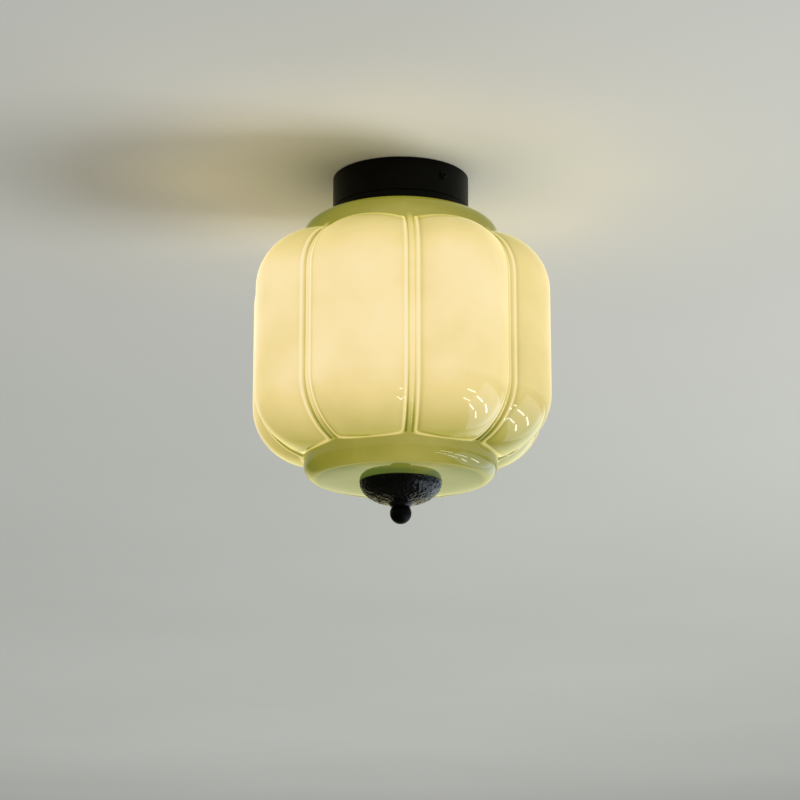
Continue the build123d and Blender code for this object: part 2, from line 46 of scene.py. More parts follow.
# Sizes of the glass shade in millimetres; the lobes' own axes stand a little further out at mid-height
LOBES = 8
HALF_SECTOR = math.pi / LOBES
GROOVE_AZIMUTH = math.radians(4.5)
LOBE_REACH = 111.3
OFFSET_TOP = 57.0
OFFSET_MIDDLE = 63.0
OFFSET_LOW = 61.5
LOBE_TOP = -50.6
LOBE_BOTTOM = -213.0
TOP_ROUND = 42.5
BOTTOM_ROUND = 44.0
END_LEVELLING = 0.55
LEAST_SHARE = 0.02
GLASS_WALL = 5.0
GLASS_TOP = -30.5
LIP_ROUND = 1.6
MOUTH_RADIUS = 34.0
FLANGE_RADIUS = 71.5
FLANGE_WIDTH = 30.0
FLANGE_EQUATOR = -44.5
FLANGE_SKIRT = 3.0
FOOT_RADIUS = 70.0
FOOT_CORNER = 11.0
FOOT_EQUATOR = -218.0
FOOT_SKIRT = 2.0
BORDER_STEP = 0.5
GLASS_BOTTOM = -229.6
BOTTOM_CROWN = 0.8
CROWN_POWER = 5
HOLE_RADIUS = 6.5

# Walls of flange and foot as shares of the wall of the lobes
FLANGE_WALL_SHARE = 1.3
FOOT_WALL_SHARE = 1.2

# Soft bulge of the glass bottom, as a relief of the finish
BULGE_RADIUS = 60.0
BULGE_HEIGHT = 1.1
BULGE_POWER = 7.0

# Groove between two lobes, in millimetres from its middle or from its ends
# A reach, here and below, is where a change starts and where it is full
RIB_HALF = 2.0
RIB_CREST = 1.2
RIB_END_RISE = 3.0
RIB_RISE_REACH = (16.0, 6.0)
RIB_CAP = 1.4
SLIT_OUT = 2.4
RIDGE_OUT = 4.5
RIDGE_RISE = 0.3
RIDGE_FADE = 1.2
GROOVE_SPAN = 9.0
LEAST_ACROSS = 0.5
CHANNEL_DROP = 0.9
GROOVE_START = (0.2, 1.6)
GROOVE_END = (0.1, 1.0)
PANEL_INSET = 1.0
PANEL_CORNER = 3.0

# Mesh of the glass: stretches across a groove as (end in millimetres, columns), then counts
COLUMN_STRETCHES = ((1.7, 4), (2.7, 6), (6.0, 10), (GROOVE_SPAN, 3))
LOBE_COLUMNS = 7
ROW_CROWDING = 1.8
GLASS_OUTER_ROWS = (24, 9)
GLASS_INNER_ROWS = (9, 4)
FLANGE_ROWS = 14
FOOT_ROWS = 12
BOTTOM_ROWS = 10
LIP_ROWS = 6

# Light in the glass, painted as its glow, 1 where the lamps shine through best; heights and distances in
# millimetres
TOP_FADE = 0.27
TOP_FADE_START = -98.0
TOP_FADE_LENGTH = 33.0
LOW_FADE = 0.47
LOW_FADE_START = -165.0
LOW_FADE_LENGTH = 47.0
LEAST_GLOW = 0.2
RING_GLOW = 0.36
MOUTH_GLOW = 0.25
FLANGE_GAIN = 0.2
FLANGE_GAIN_HEIGHTS = (-31.0, -50.0)
BOTTOM_LOSS = 0.26
BOTTOM_LOSS_REACH = (4.0, -2.0)
BOTTOM_MIDDLE_LOSS = 0.1
BOTTOM_MIDDLE_REACH = (50.0, 38.0)

# Painted light and shade along the rim of a lobe's panel: a pale line, a dark line and a shade that fades
# inwards
PANEL_LIGHT_WIDTH = 0.95
PANEL_LIGHT_BOOST = 1.2
PANEL_DARK = 0.12
PANEL_DARK_DEPTH = 1.8
PANEL_DARK_WIDTH = 1.4
PANEL_FADING_SHADE = 0.14
PANEL_FADING_SHADE_LENGTH = 5.0
PANEL_BLEND = (0.2, 1.6)
PANEL_RIGHT_SHARE = 0.3

# Painted shade in the slits beside a rib and at the dim ends of a groove
SLIT_WIDTH = 0.7
SLIT_LOW_WIDENING = 0.2
SLIT_RIGHT_SHARE = 0.6
SLIT_LOW_GAIN = 0.45
SLIT_LOW_REACH = (60.0, 12.0)
SLIT_TOP_GAIN = 0.3
SLIT_TOP_REACH = (40.0, 10.0)
GROOVE_TOP_LOSS = 0.25
GROOVE_TOP_REACH = (14.0, 3.0)
GROOVE_LOW_LOSS = 0.2
GROOVE_LOW_REACH = (28.0, 3.0)
GROOVE_LOSS_WIDTH = 3.2

# Dimmer sides of the shade; a side is counted from -1 at the left to 1 at the right
RIGHT_LOSS = 0.14
RIGHT_REACH = (0.6, 1.0)
LOWER_RIGHT_LOSS = 0.09
LOWER_RIGHT_REACH = (0.15, 0.55)
LOWER_LEFT_LOSS = 0.1
LOWER_LEFT_REACH = (0.65, 0.95)
LOWER_HEIGHTS = (-115.0, -165.0)
RING_SIDE_LOSS = 0.18
RING_SIDE_REACH = (0.4, 1.0)
RING_LEFT_LOSS = 0.05
RING_LEFT_REACH = (0.2, 0.7)

# How much clouds, the painted light on the rims and the painted shade in the slits change the light in
# the glass
CLOUD_LEVEL = 0.05
RIDGE_GAIN = 0.17
SLIT_LOSS = 0.34
GLOW_SCALE = 0.8

# Sizes of the finial dome in millimetres, and the rows of its mesh
DOME_RADIUS = 29.7
DOME_HEIGHT = 16.3
DOME_WALL = 1.6
DOME_RIM = -230.2
DOME_SEAT = -247.9
DOME_FLARE = 9.5
DOME_FULLNESS = 0.9
DOME_NECK = 7.4
NECK_BEND = 0.2
BOSS_RADIUS = 7.0
BOSS_HEIGHT = 8.7
ROD_HOLE = 3.3
RIM_WIDTH = 3.5
EDGE_BREAK = 0.4
RIM_BREAK = 0.3
DOME_COLUMNS = 220
HAMMERED_ROWS = 60
NECK_ROWS = 8
INNER_ROWS = 12

# Hammer marks of the dome in millimetres
MARK_SIZE = 2.3
MARK_STRETCH = 0.7
MARK_DEPTH = 0.85
MARK_HALF = 0.9
MARK_WAVE = 0.15
WAVE_ROUND = 2.0
WAVE_UP = 0.3
WAVE_SEED = 3.0
MARK_LEVEL = 0.55
MARK_FADE_ROWS = 4

# Threaded rod in millimetres
ROD_RADIUS = 3.0
ROD_THREAD_DEPTH = 0.35
ROD_PITCH = 1.0
ROD_END_SHARE = 0.75
ROD_TIP = 0.05
ROD_COLUMNS = 14
ROWS_PER_PITCH = 4

# Screws in the side of the cup in millimetres; the head's rounding is (radius, drop) pairs
CUP_RADIUS = 50.0
SCREW_AZIMUTHS = (math.radians(37.7), math.radians(217.7))
SCREW_LEVEL = -10.5
HEAD_RADIUS = 2.9
HEAD_HEIGHT = 1.9
HEAD_FLAT = 1.5
HEAD_FLAT_ROWS = 5
HEAD_ROUNDING = ((1.8, 0.03), (2.2, 0.18), (2.6, 0.55), (2.84, 1.1))
HEAD_SIDE = 0.4
SHANK_RADIUS = 1.4
SHANK_LENGTH = 5.5
RECESS_DEPTH = 1.0
RECESS_HALF = (0.5, 0.3)
RECESS_REACH = (1.7, 1.3)
RECESS_BAND = 0.1
HEAD_GAP = 0.02
SCREW_MIDDLE = 0.02
SCREW_COLUMNS = 48

# Finishes: where noise starts and ends, its detail, and how uneven gloss and relief are
NOISE_LOW = 0.3
NOISE_HIGH = 0.7
FINE_DETAIL = 4.0
BROAD_DETAIL = 2.0
BROAD_GRAIN = 14.0
GLOSS_SPREAD = 0.15
RELIEF_STRENGTH = 0.25

# Ceiling plane in metres
CEILING_HALF = 9.0
CEILING_LEVEL = 0.0004

# Surroundings: level of the room's light, and the side that is bright in reflections
ROOM_LEVEL = 0.315
ROOM_TONE = (0.99, 1.0, 0.985, 1.0)
BRIGHT_SIDE = (0.2, 0.98, 0.0)
BRIGHT_REACH = (0.68, 0.95)
DIM_LEVEL = 0.05
BRIGHT_LEVEL = 0.8
WARM_REFLECTION = (1.38, 1.3, 0.78)
COOL_REFLECTION = (1.8, 2.1, 2.3)
TONE_REACH = (0.1, 0.5)

# Lights in metres: the point that they look at, their colours, and the dashed rows of streaks
LIGHT_TARGET = (0.0, 0.0, -0.12)
WHITE = (1.0, 0.995, 0.975)
SKY = (0.78, 0.97, 1.18)
STREAK_SIDE = 1.5
STREAK_HEIGHTS = (-1.1, -1.8)
DASHES = 3
FIRST_DASH = -0.95
DASH_STEP = 0.75

# Glow that the lit shade throws on the ceiling: lamps on a ring, in watts and millimetres
GLOW_LAMPS = 8
GLOW_POWER = 0.036
GLOW_COLOUR = (1.0, 0.72, 0.24)
GLOW_RADIUS = 145.0
GLOW_LEVEL = -75.0
GLOW_TO_LEFT = 0.28
GLOW_TO_BACK = 0.35
GLOW_SIZE = 30.0

# Camera fitted to the outlines: lens and sensor in millimetres, place in metres, pitch in radians
CAMERA_LENS = 117.43
SENSOR_WIDTH = 36.0
CAMERA_PLACE = (-0.0005, -1.82605, -0.65659)
CAMERA_PITCH = 0.261107


def smooth_step(low, high, value):
    """Smooth rise from 0 at low to 1 at high."""
    t = min(max((value - low) / (high - low), 0.0), 1.0)
    return t * t * (3.0 - 2.0 * t)


def bell(value, width):
    """Bell curve of height 1 about zero."""
    return math.exp(-(value / width) ** 2)


# Mesh helpers


def grid_mesh(name, rows, closed_rows, values=None):
    """Object from rows of points in millimetres; each row closes on itself."""
    columns = len(rows[0])
    points = [(x * MM, y * MM, z * MM) for row in rows for x, y, z in row]
    faces = []
    last = len(rows) if closed_rows else len(rows) - 1
    for i in range(last):
        below = (i + 1) % len(rows)
        for j in range(columns):
            side = (j + 1) % columns
            upper, lower = i * columns, below * columns
            faces.append((upper + j, lower + j, lower + side, upper + side))
    mesh = bpy.data.meshes.new(name)
    mesh.from_pydata(points, [], faces)
    mesh.polygons.foreach_set("use_smooth", [True] * len(faces))
    for key, numbers in (values or {}).items():
        layer = mesh.attributes.new(key, "FLOAT", "POINT")
        layer.data.foreach_set("value", numbers)
    mesh.update()
    piece = bpy.data.objects.new(name, mesh)
    bpy.context.scene.collection.objects.link(piece)
    return piece


def on_circle(radius, azimuth, z):
    """Point at an azimuth counted from the front towards +X."""
    return (radius * math.sin(azimuth), -radius * math.cos(azimuth), z)


def turned_rows(profile, columns):
    """Rows of a turned piece from (radius, height) pairs."""
    turn = 2.0 * math.pi / columns
    return [[on_circle(radius, j * turn, z) for j in range(columns)] for radius, z in profile]


# Glass shade


def glass_columns():
    """Columns round the shade as (groove number, side, kind, amount); kind says what the amount is."""
    steps = []
    start = 0.0
    for end, count in COLUMN_STRETCHES:
        steps += [start + (end - start) * i / count for i in range(count)]
        start = end
    steps.append(GROOVE_SPAN)
    shares = [i / LOBE_COLUMNS for i in range(1, LOBE_COLUMNS + 1)]
    columns = []
    for k in range(LOBES):
        columns += [(k, 1, "step", u) for u in steps]
        columns += [(k, 1, "share", t) for t in shares]
        columns += [(k + 1, -1, "share", t) for t in reversed(shares[:-1])]
        columns += [(k + 1, -1, "step", u) for u in reversed(steps[1:])]
    return columns


def column_angle(column, valley_radius):
    """Angle of a column from its groove on a row whose valley has this radius."""
    kind, amount = column[2], column[3]
    if kind == "step":
        return math.asin(amount / valley_radius)
    edge = math.asin(GROOVE_SPAN / valley_radius)
    return edge + amount * (HALF_SECTOR - edge)


def column_azimuth(column, angle):
    """Azimuth of a column that lies this far from its groove."""
    return GROOVE_AZIMUTH + column[0] * 2.0 * HALF_SECTOR + column[1] * angle


def from_lobe_axis(radius, angle, offset):
    """Distance from the lobe's own axis of a point at this radius and angle from the groove."""
    beta = HALF_SECTOR - angle
    return math.sqrt(radius ** 2 + offset ** 2 - 2.0 * radius * offset * math.cos(beta))


def from_main_axis(lobe_distance, angle, offset):
    """Radius about the main axis of a point this far from its lobe's axis."""
    beta = HALF_SECTOR - angle
    return offset * math.cos(beta) + math.sqrt(lobe_distance ** 2 - (offset * math.sin(beta)) ** 2)


class LobeForm:
    """Profile of the lobes at a given depth under the outer face."""

    def __init__(self, inset, start_radius, end_radius):
        self.top_round = TOP_ROUND - inset
        self.bottom_round = BOTTOM_ROUND - inset
        self.reach = LOBE_REACH - inset
        self.top_centre = LOBE_TOP - TOP_ROUND
        self.bottom_centre = LOBE_BOTTOM + BOTTOM_ROUND
        self.start_radius = start_radius
        self.end_radius = end_radius

    def start_turn(self, angle):
        """Turn of the top shoulder at which it leaves the flange."""
        flat = self.reach - OFFSET_TOP - self.top_round
        distance = from_lobe_axis(self.start_radius, angle, OFFSET_TOP)
        return math.asin(max((distance - flat) / self.top_round, LEAST_SHARE))

    def end_turn(self, angle):
        """Turn of the bottom shoulder at which it meets the foot."""
        flat = self.reach - OFFSET_LOW - self.bottom_round
        distance = from_lobe_axis(self.end_radius, angle, OFFSET_LOW)
        return math.acos(max((distance - flat) / self.bottom_round, LEAST_SHARE))

    def spot(self, zone, share, angle):
        """Radius, height, outward direction and distances to flange and foot of one point."""
        top = self.start_turn(angle)
        low = self.end_turn(angle)
        top_length = (math.pi / 2 - top) * self.top_round
        low_length = low * self.bottom_round
        side_length = self.top_centre - self.bottom_centre
        if zone == "top":
            offset = OFFSET_MIDDLE + (OFFSET_TOP - OFFSET_MIDDLE) * (1.0 - share) ** 2
            turn = top + share * (math.pi / 2 - top)
            away = self.reach - offset - self.top_round * (1.0 - math.sin(turn))
            z = self.top_centre + self.top_round * math.cos(turn)
            out = (math.sin(turn), math.cos(turn))
            from_top = share * top_length
        elif zone == "side":
            offset = OFFSET_MIDDLE
            away = self.reach - offset
            z = self.top_centre - share * side_length
            out = (1.0, 0.0)
            from_top = top_length + share * side_length
        else:
            offset = OFFSET_MIDDLE + (OFFSET_LOW - OFFSET_MIDDLE) * share ** 2
            turn = share * low
            away = self.reach - offset - self.bottom_round * (1.0 - math.cos(turn))
            z = self.bottom_centre - self.bottom_round * math.sin(turn)
            lift = math.sin(low) - math.sin(self.end_turn(HALF_SECTOR))
            z += END_LEVELLING * share ** 3 * self.bottom_round * lift
            out = (math.cos(turn), -math.sin(turn))
            from_top = top_length + side_length + share * low_length
        to_foot = top_length + side_length + low_length - from_top
        return from_main_axis(away, angle, offset), z, out, from_top, to_foot


def lobe_row_places(count, side_count):
    """Zones and shares of the rows from the flange to the foot, closer together near both ends."""
    places = [("top", (i / count) ** ROW_CROWDING) for i in range(count)]
    places += [("side", i / side_count) for i in range(side_count)]
    places += [("low", 1.0 - (1.0 - i / count) ** ROW_CROWDING) for i in range(count + 1)]
    return places


def from_rib(across, from_top):
    """Distance from the rib's middle line, which ends in a round cap near the flange."""
    return math.hypot(across, max(RIB_CAP - from_top, 0.0))


def groove_height(across, from_top, natural):
    """Height of the groove's face over the bare lobe: rib, slit, and the rolled edge of the lobe."""
    away = from_rib(across, from_top)
    if away < RIB_HALF:
        rib = math.sqrt(1.0 - (away / RIB_HALF) ** 2)
        crest = RIB_CREST + RIB_END_RISE * smooth_step(*RIB_RISE_REACH, from_top)
        return -CHANNEL_DROP + (CHANNEL_DROP + crest) * rib - natural
    if away < SLIT_OUT:
        return -CHANNEL_DROP - natural
    if away < RIDGE_OUT:
        slope = natural / max(across, LEAST_ACROSS)
        edge = slope * RIDGE_OUT + RIDGE_RISE + CHANNEL_DROP
        share = (RIDGE_OUT - away) / (RIDGE_OUT - SLIT_OUT)
        return -CHANNEL_DROP + edge * math.sqrt(1.0 - share ** 2) - natural
    return RIDGE_RISE * bell(away - RIDGE_OUT, RIDGE_FADE)


def panel_depth(across, from_top, to_foot):
    """Distance inside the rounded outline of a lobe's panel; negative in the groove."""
    side = across - RIDGE_OUT
    end = min(from_top, to_foot) - PANEL_INSET
    corner = math.hypot(max(PANEL_CORNER - side, 0.0), max(PANEL_CORNER - end, 0.0))
    return PANEL_CORNER - corner + max(min(side, end) - PANEL_CORNER, 0.0)


def glow_of_lobe(z):
    """How strongly the lamps light the lobes at this height."""
    top_loss = TOP_FADE * max((z - TOP_FADE_START) / TOP_FADE_LENGTH, 0.0) ** 2
    low_loss = LOW_FADE * max((LOW_FADE_START - z) / LOW_FADE_LENGTH, 0.0) ** 2
    return max(1.0 - top_loss - low_loss, LEAST_GLOW)


def edge_light(depth, z):
    """Painted light in a pale line along the rim of a panel, stronger where the lobe itself is dim."""
    return bell(depth, PANEL_LIGHT_WIDTH) * (1.0 + PANEL_LIGHT_BOOST * (1.0 - glow_of_lobe(z)))


def edge_shade(depth, side):
    """Loss of light along the rim of a panel, stronger on the side of a lobe that faces left."""
    weight = 1.0 if side > 0 else PANEL_RIGHT_SHARE
    line = PANEL_DARK * bell(depth - PANEL_DARK_DEPTH, PANEL_DARK_WIDTH)
    # Painted shade that fades inwards from the rim of the panel
    haze = PANEL_FADING_SHADE * math.exp(-max(depth, 0.0) / PANEL_FADING_SHADE_LENGTH)
    return weight * (line + haze) * smooth_step(*PANEL_BLEND, depth)


def slit_shade(across, from_top, to_foot, side):
    """Painted shade in the slit beside the rib, fainter on the rib's right and deeper towards both ends.
    """
    near_foot = smooth_step(*SLIT_LOW_REACH, to_foot)
    weight = SLIT_RIGHT_SHARE if side > 0 else 1.0
    weight += SLIT_LOW_GAIN * near_foot + SLIT_TOP_GAIN * smooth_step(*SLIT_TOP_REACH, from_top)
    width = SLIT_WIDTH + SLIT_LOW_WIDENING * near_foot
    return weight * bell(from_rib(across, from_top) - SLIT_OUT, width)


def groove_loss(across, from_top, to_foot):
    """Loss of light in the groove near both of its ends."""
    top = GROOVE_TOP_LOSS * smooth_step(*GROOVE_TOP_REACH, from_top)
    low = GROOVE_LOW_LOSS * smooth_step(*GROOVE_LOW_REACH, to_foot)
    return (top + low) * bell(across, GROOVE_LOSS_WIDTH)


def lobe_side_loss(azimuth, z):
    """Loss of light of the lobes on the right, and low down on the right and at the far left."""
    side = math.sin(azimuth)
    low = LOWER_RIGHT_LOSS * smooth_step(*LOWER_RIGHT_REACH, side)
    low += LOWER_LEFT_LOSS * smooth_step(*LOWER_LEFT_REACH, -side)
    return RIGHT_LOSS * smooth_step(*RIGHT_REACH, side) + low * smooth_step(*LOWER_HEIGHTS, z)


def ring_loss(azimuth):
    """Loss of light of flange and foot towards both sides, a little more to the left."""
    side = math.sin(azimuth)
    both = RING_SIDE_LOSS * smooth_step(*RING_SIDE_REACH, abs(side))
    return both + RING_LEFT_LOSS * smooth_step(*RING_LEFT_REACH, -side)


class GlassRows:
    """Collects the rows of the glass mesh with the values that its material reads."""

    def __init__(self):
        self.columns = glass_columns()
        self.rows = []
        self.values = {"glow": [], "ridge": [], "slit": []}

    def add(self, points, glow, ridge=None, slit=None):
        """One more row; a row of a plain ring has neither ridge nor slit."""
        zeros = [0.0] * len(points)
        self.rows.append(points)
        self.values["glow"] += glow
        self.values["ridge"] += ridge or zeros
        self.values["slit"] += slit or zeros

    def round_row(self, radius, z, valley_radius, glow):
        """Row of a plain turned zone."""
        points, glows = [], []
        for column in self.columns:
            azimuth = column_azimuth(column, column_angle(column, valley_radius))
            points.append(on_circle(radius, azimuth, z))
            glows.append(glow - ring_loss(azimuth))
        self.add(points, glows)

    def lobe_row(self, form, zone, share, grooved):
        """Row across all lobes, with the grooves on the outer face."""
        valley_radius = form.spot(zone, share, 0.0)[0]
        points, glow, ridge, slit = [], [], [], []
        for column in self.columns:
            angle = column_angle(column, valley_radius if grooved else FOOT_RADIUS)
            radius, z, out, from_top, to_foot = form.spot(zone, share, angle)
            across = radius * math.sin(angle)
            azimuth = column_azimuth(column, angle)
            rise, edge, dark, loss = 0.0, 0.0, 0.0, 0.0
            if grooved:
                ends = smooth_step(*GROOVE_START, from_top) * smooth_step(*GROOVE_END, to_foot)
                natural = max(radius - valley_radius, 0.0)
                rise = groove_height(across, from_top, natural) * ends
                depth = panel_depth(across, from_top, to_foot)
                edge = edge_light(depth, z)
                side = column[1]
                dark = slit_shade(across, from_top, to_foot, side) * ends
                loss = edge_shade(depth, side) + groove_loss(across, from_top, to_foot)
                loss += lobe_side_loss(azimuth, z)
            radius += rise * out[0]
            z += rise * out[1]
            points.append(on_circle(radius, azimuth, z))
            glow.append(glow_of_lobe(z) - loss)
            ridge.append(edge)
            slit.append(dark)
        self.add(points, glow, ridge, slit)

    def border_row(self, form, zone, drop):
        """Row just beyond the first or last row of the lobes, on the plain ring that they meet."""
        share = 0.0 if zone == "top" else 1.0
        valley_radius = form.spot(zone, share, 0.0)[0]
        points, glows = [], []
        for column in self.columns:
            angle = column_angle(column, valley_radius)
            azimuth = column_azimuth(column, angle)
            radius, z = form.spot(zone, share, angle)[:2]
            points.append(on_circle(radius, azimuth, z - drop))
            glows.append(RING_GLOW - ring_loss(azimuth))
        self.add(points, glows)

    def flange(self, inset, upward):
        """Turned rows from the mouth to the start of the lobes, or back up on the inside."""
        radius = FLANGE_RADIUS - FLANGE_WALL_SHARE * inset
        width = FLANGE_WIDTH - inset
        top = GLASS_TOP - inset
        rows = []
        for i in range(FLANGE_ROWS + 1):
            turn = math.pi / 2 * i / FLANGE_ROWS
            z = FLANGE_EQUATOR + (top - FLANGE_EQUATOR) * math.cos(turn)
            rows.append((radius - width * (1.0 - math.sin(turn)), z))
        rows.append((radius, FLANGE_EQUATOR - FLANGE_SKIRT))
        for ring_radius, z in reversed(rows) if upward else rows:
            gain = FLANGE_GAIN * smooth_step(*FLANGE_GAIN_HEIGHTS, z)
            self.round_row(ring_radius, z, FLANGE_RADIUS, RING_GLOW - FLANGE_GAIN + gain)

    def foot(self, inset, upward):
        """Turned rows from the end of the lobes to the bottom hole, or back on the inside."""
        radius = FOOT_RADIUS - FOOT_WALL_SHARE * inset
        width = FOOT_CORNER - inset / 2
        corner = GLASS_BOTTOM + inset + BOTTOM_CROWN
        flat = radius - width
        rows = [(radius, FOOT_EQUATOR + FOOT_SKIRT)]
        for i in range(FOOT_ROWS + 1):
            turn = math.pi / 2 * i / FOOT_ROWS
            z = FOOT_EQUATOR - (FOOT_EQUATOR - corner) * math.sin(turn)
            rows.append((radius - width * (1.0 - math.cos(turn)), z))
        for i in range(1, BOTTOM_ROWS + 1):
            ring_radius = flat + (HOLE_RADIUS - flat) * i / BOTTOM_ROWS
            crown = BOTTOM_CROWN * (1.0 - (ring_radius / flat) ** CROWN_POWER)
            rows.append((ring_radius, corner - crown))
        for ring_radius, z in reversed(rows) if upward else rows:
            glow = RING_GLOW - BOTTOM_LOSS * smooth_step(*BOTTOM_LOSS_REACH, ring_radius - flat)
            glow -= BOTTOM_MIDDLE_LOSS * smooth_step(*BOTTOM_MIDDLE_REACH, ring_radius)
            self.round_row(ring_radius, z, FOOT_RADIUS, glow)

    def mouth(self):
        """Fire-polished lip of the mouth, from the inside to the outside."""
        for i in range(LIP_ROWS + 1):
            turn = math.pi / 2 * i / LIP_ROWS
            radius = MOUTH_RADIUS + LIP_ROUND * (1.0 - math.cos(turn))
            z = GLASS_TOP - LIP_ROUND * (1.0 - math.sin(turn))
            self.round_row(radius, z, FLANGE_RADIUS, MOUTH_GLOW)


def make_glass():
    """Closed mesh of the blown shade, outer face first and then the inner face."""
    form = LobeForm(0.0, FLANGE_RADIUS, FOOT_RADIUS)
    inner_start = FLANGE_RADIUS - FLANGE_WALL_SHARE * GLASS_WALL
    inner_end = FOOT_RADIUS - FOOT_WALL_SHARE * GLASS_WALL
    hollow = LobeForm(GLASS_WALL, inner_start, inner_end)
    glass = GlassRows()
    glass.mouth()
    glass.flange(0.0, False)
    glass.border_row(form, "top", -BORDER_STEP)
    for zone, share in lobe_row_places(*GLASS_OUTER_ROWS):
        glass.lobe_row(form, zone, share, True)
    glass.border_row(form, "low", BORDER_STEP)
    glass.foot(0.0, False)
    glass.foot(GLASS_WALL, True)
    for zone, share in reversed(lobe_row_places(*GLASS_INNER_ROWS)):
        glass.lobe_row(hollow, zone, share, False)
    glass.flange(GLASS_WALL, True)
    piece = grid_mesh("blown_glass", glass.rows, True, glass.values)
    piece.data.flip_normals()
    return piece


# Finial dome, rod and screws


def hammer_depth(point):
    """Depth of the hammer marks at a point of the dome, in millimetres."""
    turn = math.atan2(point.x, -point.y)
    spread = Vector((point.x, point.y, point.z * MARK_STRETCH)) / MARK_SIZE
    distances = noise.voronoi(spread)[0]
    wave = noise.noise(Vector((turn * WAVE_ROUND, point.z * WAVE_UP, WAVE_SEED)))
    return MARK_DEPTH * min(distances[0], MARK_HALF) ** 2 + MARK_WAVE * wave - MARK_LEVEL


def dome_outside():
    """Outer profile of the dome from its rim to its neck, as (radius, height) pairs."""
    flare_turn = math.asin((DOME_FLARE / DOME_RADIUS) ** (1.0 / DOME_FULLNESS))
    flare_z = DOME_RIM - DOME_HEIGHT * math.cos(flare_turn)
    profile = []
    for i in range(HAMMERED_ROWS + 1):
        turn = math.pi / 2 + (flare_turn - math.pi / 2) * i / HAMMERED_ROWS
        radius = DOME_RADIUS * math.sin(turn) ** DOME_FULLNESS
        profile.append((radius, DOME_RIM - DOME_HEIGHT * math.cos(turn)))
    for i in range(1, NECK_ROWS + 1):
        share = i / NECK_ROWS
        radius = (1.0 - share) ** 2 * DOME_FLARE + (1.0 - (1.0 - share) ** 2) * DOME_NECK
        drop = (1.0 + NECK_BEND) * share - NECK_BEND * share * share
        profile.append((radius, flare_z + (DOME_SEAT - flare_z) * drop))
    return profile


def dome_inside():
    """Inner profile of the dome: up the rod's hole, round the boss and out to the rim."""
    radius = DOME_RADIUS - DOME_WALL
    height = DOME_HEIGHT - DOME_WALL
    inner_rim = DOME_RADIUS - RIM_WIDTH
    boss_top = DOME_SEAT + BOSS_HEIGHT
    profile = [
        (ROD_HOLE, DOME_SEAT),
        (ROD_HOLE, boss_top - EDGE_BREAK),
        (ROD_HOLE + EDGE_BREAK, boss_top),
        (BOSS_RADIUS - EDGE_BREAK, boss_top),
        (BOSS_RADIUS, boss_top - EDGE_BREAK),
    ]
    floor_turn = math.asin(BOSS_RADIUS / radius)
    rim_turn = math.asin(inner_rim / radius)
    for i in range(INNER_ROWS + 1):
        turn = floor_turn + (rim_turn - floor_turn) * i / INNER_ROWS
        profile.append((radius * math.sin(turn), DOME_RIM - height * math.cos(turn)))
    profile.append((inner_rim, DOME_RIM - RIM_BREAK))
    profile.append((inner_rim + RIM_BREAK, DOME_RIM))
    profile.append((DOME_RADIUS - EDGE_BREAK, DOME_RIM))
    return profile


def hammer(rows):
    """Sinks the hammer marks into the dome's outer rows; they fade out at the rim and the neck."""
    for i in range(1, HAMMERED_ROWS):
        fade = smooth_step(0, MARK_FADE_ROWS, i) * smooth_step(0, MARK_FADE_ROWS, HAMMERED_ROWS - i)
        for j, (x, y, z) in enumerate(rows[i]):
            point = Vector((x, y, z - DOME_RIM))
            out = Vector((x, y, (z - DOME_RIM) * (DOME_RADIUS / DOME_HEIGHT) ** 2)).normalized()
            point += out * min(hammer_depth(point), 0.0) * fade
            rows[i][j] = (point.x, point.y, point.z + DOME_RIM)


def make_dome():
    """Hollow hammered dome with its inner rim and the boss round the rod."""
    rows = turned_rows(dome_outside() + dome_inside(), DOME_COLUMNS)
    hammer(rows)
    piece = grid_mesh("hammered_dome", rows, True)
    piece.data.flip_normals()
    return piece


def make_rod():
    """Threaded rod as a helical surface between chamfered ends."""
    low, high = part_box("centre_rod")
    bottom, top = low[2] / MM, high[2] / MM
    steps = int((top - bottom) / ROD_PITCH * ROWS_PER_PITCH)
    azimuths = [2.0 * math.pi * j / ROD_COLUMNS for j in range(ROD_COLUMNS)]
    rows = [[on_circle(ROD_TIP, azimuth, bottom) for azimuth in azimuths]]
    for i in range(steps + 1):
        z = bottom + (top - bottom) * i / steps
        end = min(z - bottom, top - z)
        row = []
        for j, azimuth in enumerate(azimuths):
            phase = (z / ROD_PITCH - j / ROD_COLUMNS) % 1.0
            radius = ROD_RADIUS - ROD_THREAD_DEPTH * 2.0 * abs(phase - 0.5)
            radius = min(radius, ROD_RADIUS * ROD_END_SHARE + end)
            row.append(on_circle(radius, azimuth, z))
        rows.append(row)
    rows.append([on_circle(ROD_TIP, azimuth, top) for azimuth in azimuths])
    return grid_mesh("threaded_rod", rows, False)


def screw_profile():
    """Profile of a side screw from the middle of its head to the end of its shank."""
    profile = [(SCREW_MIDDLE, HEAD_HEIGHT)]
    profile += [(HEAD_FLAT * i / HEAD_FLAT_ROWS, HEAD_HEIGHT) for i in range(1, HEAD_FLAT_ROWS + 1)]
    profile += [(radius, HEAD_HEIGHT - drop) for radius, drop in HEAD_ROUNDING]
    profile += [(HEAD_RADIUS, HEAD_SIDE), (HEAD_RADIUS, HEAD_GAP)]
    profile += [(SHANK_RADIUS, HEAD_GAP), (SHANK_RADIUS, -SHANK_LENGTH)]
    profile.append((SCREW_MIDDLE, -SHANK_LENGTH))
    return profile


def recess(across, along):
    """Depth of the cross recess at a point of the screw's head."""
    arm = min(abs(across), abs(along))
    reach = max(abs(across), abs(along))
    return RECESS_DEPTH * smooth_step(*RECESS_HALF, arm) * smooth_step(*RECESS_REACH, reach)


